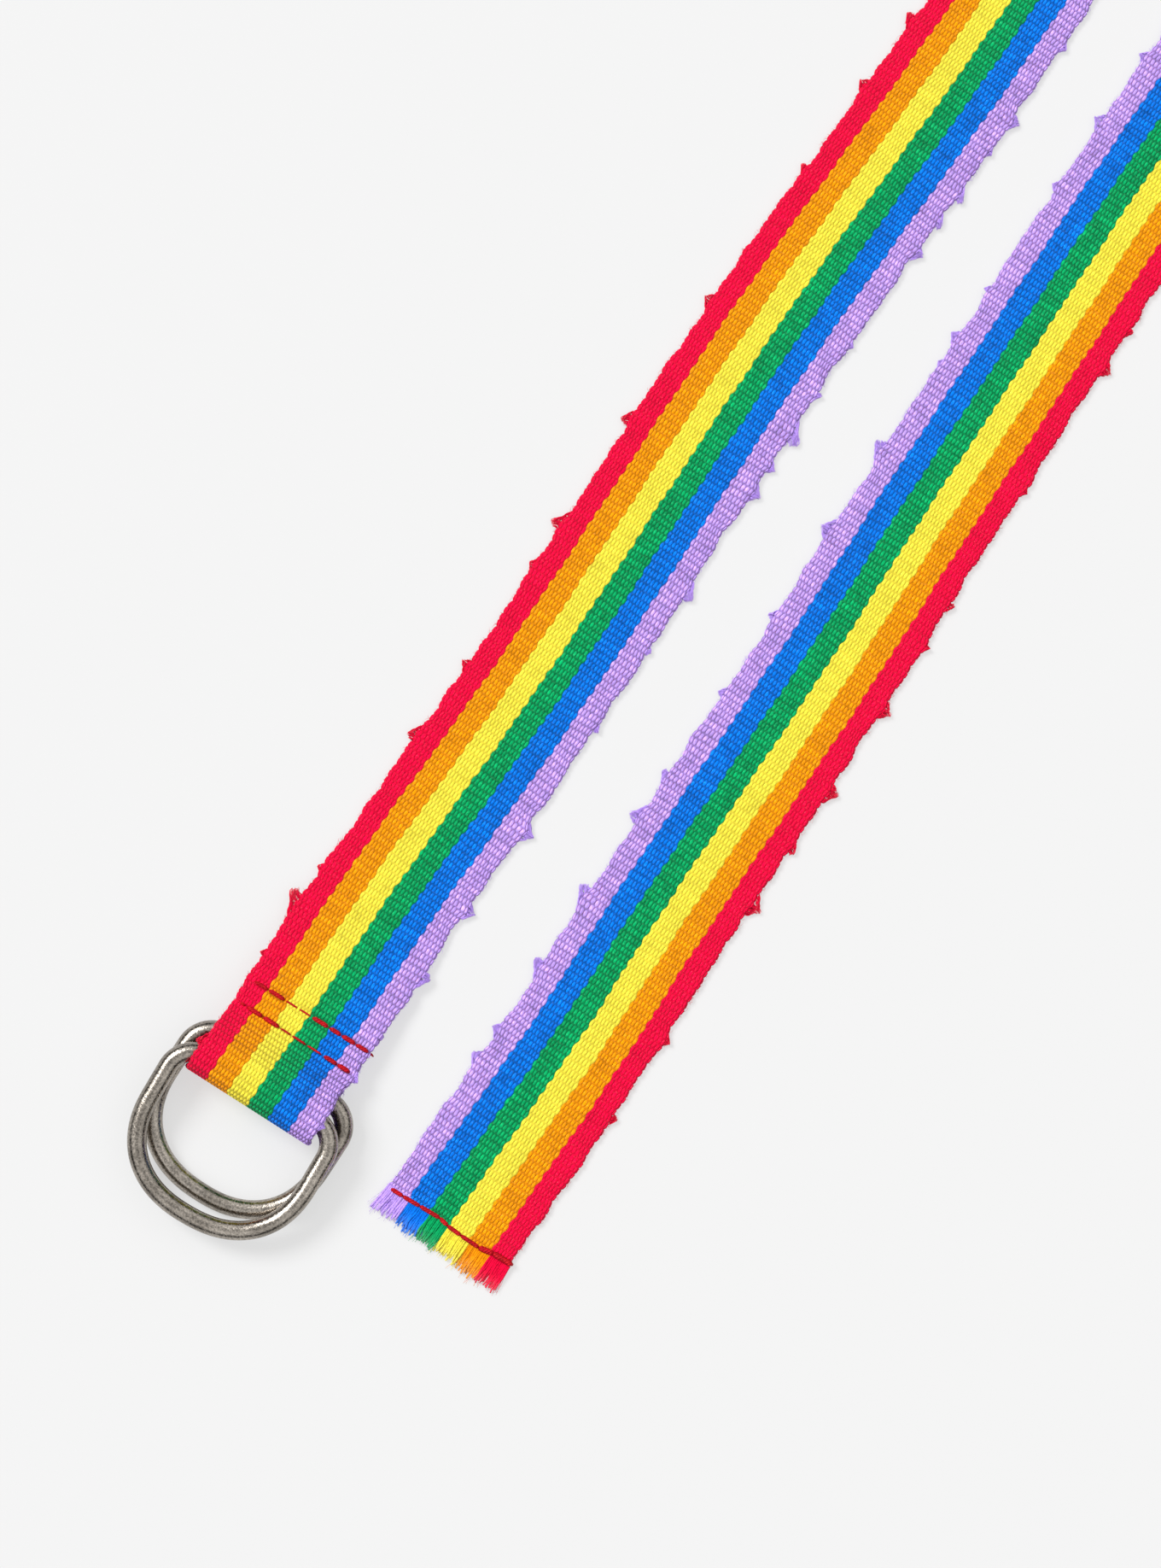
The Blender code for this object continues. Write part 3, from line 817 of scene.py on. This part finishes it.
class Shader:
    """A Principled material whose nodes are made by short calls."""

    def __init__(self, name, **constants):
        self.material = bpy.data.materials.new(name)
        self.material.use_nodes = True
        self.tree = self.material.node_tree
        self.surface = self.tree.nodes["Principled BSDF"]
        for socket, value in constants.items():
            self.surface.inputs[socket.replace("_", " ")].default_value = value

    def node(self, kind, inputs=(), **settings):
        made = self.tree.nodes.new(kind)
        for name, value in settings.items():
            setattr(made, name, value)
        for socket, value in dict(inputs).items():
            self.feed(made.inputs[socket], value)
        return made

    def feed(self, socket, value):
        if isinstance(value, bpy.types.NodeSocket):
            self.tree.links.new(value, socket)
        else:
            socket.default_value = value

    def math(self, operation, *values):
        return self.node("ShaderNodeMath", enumerate(values), operation=operation).outputs[0]

    def uv(self, name):
        return self.node("ShaderNodeUVMap", uv_map=name).outputs[0]

    def split(self, vector):
        return self.node("ShaderNodeSeparateXYZ", {0: vector}).outputs

    def join(self, x, y, z=0.0):
        return self.node("ShaderNodeCombineXYZ", {0: x, 1: y, 2: z}).outputs[0]

    def noise(self, vector, scale, detail=3.0):
        inputs = {"Vector": vector, "Scale": scale, "Detail": detail}
        return self.node("ShaderNodeTexNoise", inputs).outputs["Fac"]

    def range(self, value, low, high, to_low, to_high, smooth=False):
        inputs = {0: value, 1: low, 2: high, 3: to_low, 4: to_high}
        kind = "SMOOTHSTEP" if smooth else "LINEAR"
        return self.node("ShaderNodeMapRange", inputs, interpolation_type=kind).outputs[0]

    def mix(self, factor, a, b, blend="MIX"):
        made = self.node("ShaderNodeMix", data_type="RGBA", blend_type=blend)
        for index, value in ((0, factor), (6, a), (7, b)):
            self.feed(made.inputs[index], value)
        return made.outputs[2]

    def stripes(self, loop):
        """The stripe's colour and contrast, the power that deepens its painted shade and tone, and
        the yarns from the lavender edge to here.
        """
        away = self.math("ABSOLUTE", self.math("SUBTRACT", loop, FLAT_YARNS + EDGE_YARNS / 2))
        away = self.math("MINIMUM", away, self.math("SUBTRACT", ROUND_YARNS, away))
        factor = self.math("DIVIDE", self.math("SUBTRACT", away, 1.0), FACE_YARNS)
        ramp = self.node("ShaderNodeValToRGB", {0: factor})
        ramp.color_ramp.interpolation = "CONSTANT"
        stops = ramp.color_ramp.elements
        for k in range(STRIPES):
            stop = stops[k] if k < 2 else stops.new(k / STRIPES)
            stop.position = k / STRIPES
            stop.color = (*STRIPE_COLOURS[-1 - k], STRIPE_CONTRASTS[-1 - k] / 2)
        return ramp.outputs[0], self.math("MULTIPLY", ramp.outputs[1], 2.0), away

    def bump(self, height, strength=1.0):
        """Normals from a height in millimetres."""
        inputs = {"Height": height, "Distance": MM, "Strength": strength}
        return self.node("ShaderNodeBump", inputs).outputs[0]


def woven_material():
    """The weave again, in colour: each place takes the colour of the yarn that covers it, darkened by
    painted shade in the gaps and valleys, with paler flecks on the crowns that are partly painted
    highlight.
    """
    s = Shader("woven_cotton", Roughness=0.9, Sheen_Weight=0.04, Sheen_Roughness=0.5)
    s.surface.inputs["Specular IOR Level"].default_value = 0.08
    around, periods, _ = s.split(s.uv("weave"))
    loop = s.math("MULTIPLY", around, ROUND_YARNS)
    place = s.math("SUBTRACT", loop, 0.5)
    even = s.math("MULTIPLY", 2.0, s.math("ROUND", s.math("MULTIPLY", place, 0.5)))
    off_even = s.math("ABSOLUTE", s.math("SUBTRACT", place, even))
    odd = s.math("FLOOR", s.math("MULTIPLY", place, 0.5))
    odd = s.math("ADD", s.math("MULTIPLY", 2.0, odd), 1.0)
    turned = s.math("MULTIPLY", 2 * math.pi, s.math("SUBTRACT", periods, 0.25))
    crown = s.math("ADD", 0.5, s.math("MULTIPLY", 0.5, s.math("COSINE", turned)))
    high_even = s.math("SUBTRACT", crown, s.math("POWER", off_even, 2.0))
    off_odd = s.math("SUBTRACT", 1.0, off_even)
    high_odd = s.math("SUBTRACT", s.math("SUBTRACT", 1.0, crown), s.math("POWER", off_odd, 2.0))
    height = s.math("MAXIMUM", high_even, high_odd)
    is_even = s.math("GREATER_THAN", high_even, high_odd)
    yarn = s.math("ADD", odd, s.math("MULTIPLY", is_even, s.math("SUBTRACT", even, odd)))
    colour, contrast, away = s.stripes(s.math("ADD", yarn, 0.5))
    level = s.math("ABSOLUTE", s.math("SINE", s.math("MULTIPLY", 2 * math.pi, periods)))

    beside = s.math("SUBTRACT", place, yarn)
    lay = s.math("ADD", s.math("MULTIPLY", beside, 1.5), s.math("MULTIPLY", periods, 4.0))
    twist = s.math("SINE", s.math("MULTIPLY", 2 * math.pi, lay))
    by_yarn = s.noise(s.join(s.math("MULTIPLY", yarn, 7.31), s.math("MULTIPLY", periods, 0.22)), 1.0)
    by_float = s.noise(
        s.join(s.math("MULTIPLY", yarn, 3.17), s.math("MULTIPLY", periods, 2.0), 4.0), 1.0
    )
    by_pick = s.noise(
        s.join(s.math("MULTIPLY", loop, 0.09), s.math("MULTIPLY", periods, 1.0), 6.0), 1.0
    )
    fibres = s.noise(
        s.join(s.math("MULTIPLY", loop, 2.6), s.math("MULTIPLY", periods, 7.0), 8.0), 1.0
    )
    # Painted shade: darker colour in the gaps beside the yarns and in the valleys between the picks
    gap = s.range(height, 0.02, 0.45, GAP_SHADE, 0.0, smooth=True)
    valley = s.range(level, 0.0, 0.75, VALLEY_SHADE, 0.0, smooth=True)
    tone = s.math("MULTIPLY", s.math("SUBTRACT", 1.0, gap), s.math("SUBTRACT", 1.0, valley))
    for field, low, high in (
        (by_yarn, 0.93, 1.06), (by_float, 0.86, 1.10), (by_pick, 0.90, 1.08), (fibres, 0.86, 1.10)
    ):
        tone = s.math("MULTIPLY", tone, s.range(field, 0.3, 0.7, low, high))
    # Painted shade and highlight in fine stripes along the ply twist
    tone = s.math("MULTIPLY", tone, s.range(twist, -1.0, 1.0, 0.96, 1.04))
    # The stripe's contrast deepens the painted shade together with the random tone
    tone = s.math("POWER", tone, contrast)
    toned = s.mix(1.0, colour, s.join(tone, tone, tone), blend="MULTIPLY")
    # Paler flecks on the yarns, kept out of the gaps: partly pale fibre fuzz, partly painted
    # highlight on the crowns
    pale = s.math("MULTIPLY", s.range(fibres, 0.56, 0.74, 0.0, 0.07), s.math("SUBTRACT", 1.0, gap))
    toned = s.mix(pale, toned, (1.0, 0.92, 0.88, 1.0))
    is_lavender = s.math("LESS_THAN", away, 14.0)
    weft = s.math("MULTIPLY", is_lavender, s.math("MULTIPLY", gap, 0.5))
    weft = s.math("MULTIPLY", weft, s.range(by_float, 0.45, 0.55, 0.0, 1.0))
    toned = s.mix(weft, toned, (0.45, 0.02, 0.10, 1.0))
    s.feed(s.surface.inputs["Base Color"], toned)
    relief = s.math("ADD", s.math("MULTIPLY", height, 0.16), s.math("MULTIPLY", twist, 0.012))
    relief = s.math("ADD", relief, s.math("MULTIPLY", fibres, 0.08))
    s.feed(s.surface.inputs["Normal"], s.bump(relief))
    s.feed(s.surface.inputs["Roughness"], s.range(fibres, 0.3, 0.7, 0.82, 0.95))
    return s.material


def fibre_material():
    s = Shader("cotton_fibres", Roughness=0.85, Sheen_Weight=0.04)
    s.surface.inputs["Specular IOR Level"].default_value = 0.08
    around, along, _ = s.split(s.uv("weave"))
    colour, _, _ = s.stripes(s.math("MULTIPLY", around, ROUND_YARNS))
    fleck = s.noise(s.join(s.math("MULTIPLY", around, 900.0), s.math("MULTIPLY", along, 9.0)), 1.0)
    tone = s.range(fleck, 0.3, 0.7, 0.60, 0.96)
    toned = s.mix(1.0, colour, s.join(tone, tone, tone), blend="MULTIPLY")
    pale = s.math("MULTIPLY", s.math("POWER", along, 5.0), 0.08)
    s.feed(s.surface.inputs["Base Color"], s.mix(pale, toned, (0.95, 0.88, 0.88, 1.0)))
    s.feed(s.surface.inputs["Normal"], s.bump(s.math("MULTIPLY", fleck, 0.03)))
    return s.material


def thread_material():
    s = Shader("seam_thread", Roughness=0.55)
    s.surface.inputs["Specular IOR Level"].default_value = 0.15
    where = s.node("ShaderNodeTexCoord").outputs["Object"]
    fine = s.noise(where, 2600.0, 4.0)
    broad = s.noise(where, 320.0, 2.0)
    mixed = s.mix(s.range(fine, 0.35, 0.65, 0.05, 0.70), (*THREAD_COLOUR, 1.0), (*THREAD_DARK, 1.0))
    tone = s.range(broad, 0.3, 0.7, 0.8, 1.1)
    s.feed(
        s.surface.inputs["Base Color"], s.mix(1.0, mixed, s.join(tone, tone, tone), blend="MULTIPLY")
    )
    s.feed(s.surface.inputs["Roughness"], s.range(fine, 0.3, 0.7, 0.45, 0.75))
    s.feed(s.surface.inputs["Normal"], s.bump(s.math("MULTIPLY", fine, 0.12)))
    return s.material


def pewter_material():
    s = Shader("pewter_plate", Metallic=1.0, Roughness=0.34)
    where = s.node("ShaderNodeTexCoord").outputs["Object"]
    speckle = s.noise(where, 1900.0, 3.0)
    cloud = s.noise(where, 130.0, 3.0)
    wear = s.range(cloud, 0.35, 0.65, 0.0, 1.0, smooth=True)
    base = s.mix(wear, (0.250, 0.223, 0.192, 1.0), (0.380, 0.342, 0.298, 1.0))
    tone = s.range(speckle, 0.3, 0.7, 0.55, 1.40)
    s.feed(
        s.surface.inputs["Base Color"], s.mix(1.0, base, s.join(tone, tone, tone), blend="MULTIPLY")
    )
    s.feed(s.surface.inputs["Roughness"], s.range(speckle, 0.3, 0.7, 0.16, 0.32))
    bumps = s.math("ADD", s.math("MULTIPLY", speckle, 0.05), s.math("MULTIPLY", cloud, 0.12))
    s.feed(s.surface.inputs["Normal"], s.bump(bumps))
    return s.material


def table_material():
    """A pale table that glows, painted light: part of its brightness is its own, so that shadows stay
    faint.
    """
    s = Shader("pale_table", Roughness=0.7, Emission_Strength=TABLE_GLOW)
    where = s.node("ShaderNodeTexCoord").outputs["Object"]
    grain = s.noise(where, 14.0, 2.0)
    dim, pale = (TABLE_GREY * (1 - TABLE_GLOW) * share for share in (0.992, 1.008))
    s.feed(s.surface.inputs["Base Color"], s.mix(grain, (dim, dim, dim, 1), (pale, pale, pale, 1)))
    s.surface.inputs["Emission Color"].default_value = (TABLE_SEEN, TABLE_SEEN, TABLE_SEEN, 1)
    s.surface.inputs["Specular IOR Level"].default_value = 0.1
    return s.material


# ---------------------------------------------------------------------------- stage


def soft_sun(name, direction, angle, strength):
    data = bpy.data.lights.new(name, "SUN")
    data.angle = math.radians(angle)
    data.energy = strength
    light = bpy.data.objects.new(name, data)
    bpy.context.scene.collection.objects.link(light)
    light.rotation_euler = Vector(direction).to_track_quat("Z", "Y").to_euler()


def make_stage(right, up):
    """A plain table under soft light that comes mostly from the view's upper left."""
    table = bpy.data.meshes.new("table")
    half = TABLE_SIZE / 2
    corners = [(-half, -half), (half, -half), (half, half), (-half, half)]
    table.from_pydata([(x, y, -0.05 * MM) for x, y in corners], [], [(0, 1, 2, 3)])
    table.materials.append(table_material())
    floor = bpy.data.objects.new("table", table)
    bpy.context.scene.collection.objects.link(floor)

    over = Vector((0, 0, 1))
    soft_sun("key", -right * 0.95 + up * 0.75 + over * 1.3, KEY_ANGLE, KEY_STRENGTH)

    world = bpy.data.worlds.new("studio")
    bpy.context.scene.world = world
    world.use_nodes = True
    tree = world.node_tree
    sky = tree.nodes["Background"]
    place = tree.nodes.new("ShaderNodeTexCoord")
    parts = tree.nodes.new("ShaderNodeSeparateXYZ")
    ramp = tree.nodes.new("ShaderNodeValToRGB")
    stops = ramp.color_ramp.elements
    for k, (height, grey) in enumerate(WORLD_GREYS):
        stop = stops[k] if k < 2 else stops.new(height)
        stop.position = height
        stop.color = (grey, grey, grey, 1.0)
    tree.links.new(place.outputs["Generated"], parts.inputs[0])
    tree.links.new(parts.outputs[2], ramp.inputs[0])
    tree.links.new(ramp.outputs[0], sky.inputs[0])
    sky.inputs[1].default_value = WORLD_STRENGTH


# ---------------------------------------------------------------------------- making it all


def finish_piece(piece, body, material):
    piece.data.materials.append(material)
    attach(piece, body)
    return piece


def main():
    bpy.context.scene.view_settings.view_transform = "Standard"
    right, up = make_camera()
    make_stage(right, up)
    route = Route()
    draw = np.random.default_rng(7)
    tufts = all_tufts(route)
    cotton, fibres = woven_material(), fibre_material()
    thread, pewter = thread_material(), pewter_material()

    segments, along, loop, points, normals = weave_segments(route, tufts)
    threads = {**head_seams(route), **end_seam(route)}
    thread_pieces = {}
    for name, strands in threads.items():
        piece = strands.make(name.replace("_thread", "_stitches"))
        finish_piece(piece, "strap", thread)
        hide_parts(name)
        thread_pieces[name] = piece
    cut_end = finish_piece(fringe(route, draw).make("fringe"), "strap", fibres)

    for name, first, last in segments:
        piece = webbing_piece(name, first, last, along, loop, points, normals, route.period)
        finish_piece(piece, "strap", cotton)
        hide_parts("webbing")
        edges = edge_strands(route, along[first], along[last], tufts, draw)
        edges = finish_piece(edges.make(name + "_fibres"), "strap", fibres)
        with_pieces = [edges]
        if name == "webbing_ring_end":
            with_pieces += [p for n, p in thread_pieces.items() if not n.startswith("end")]
        if name == "webbing_free_end":
            with_pieces += [cut_end]
            with_pieces += [p for n, p in thread_pieces.items() if n.startswith("end")]

    reach = RING_HEIGHT - WIRE - BAR_BEHIND_AXIS
    rear_height = WEB_THICK + BAR_CLEARANCE + BAR_BEHIND_AXIS + WIRE / 2
    tilt = math.asin((rear_height - WIRE / 2 - REST_ABOVE_TABLE) / reach)
    stacked = (WIRE + RING_GAP) / math.cos(tilt)
    front_height = rear_height - (REAR_AXIS - FRONT_AXIS) * math.tan(tilt) + stacked
    rings = [
        ("front", FRONT_AXIS, front_height, FRONT_SHIFT, FRONT_TURN),
        ("rear", REAR_AXIS, rear_height, REAR_SHIFT, REAR_TURN),
    ]
    for name, distance, height, shift, turned in rings:
        ring = d_ring(name + "_ring_wire", distance, height, shift, turned, tilt)
        finish_piece(ring, name + "_ring", pewter)
        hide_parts(name + "_d_ring")
    print("webbing length", round(route.length, 1), "mm")


main()
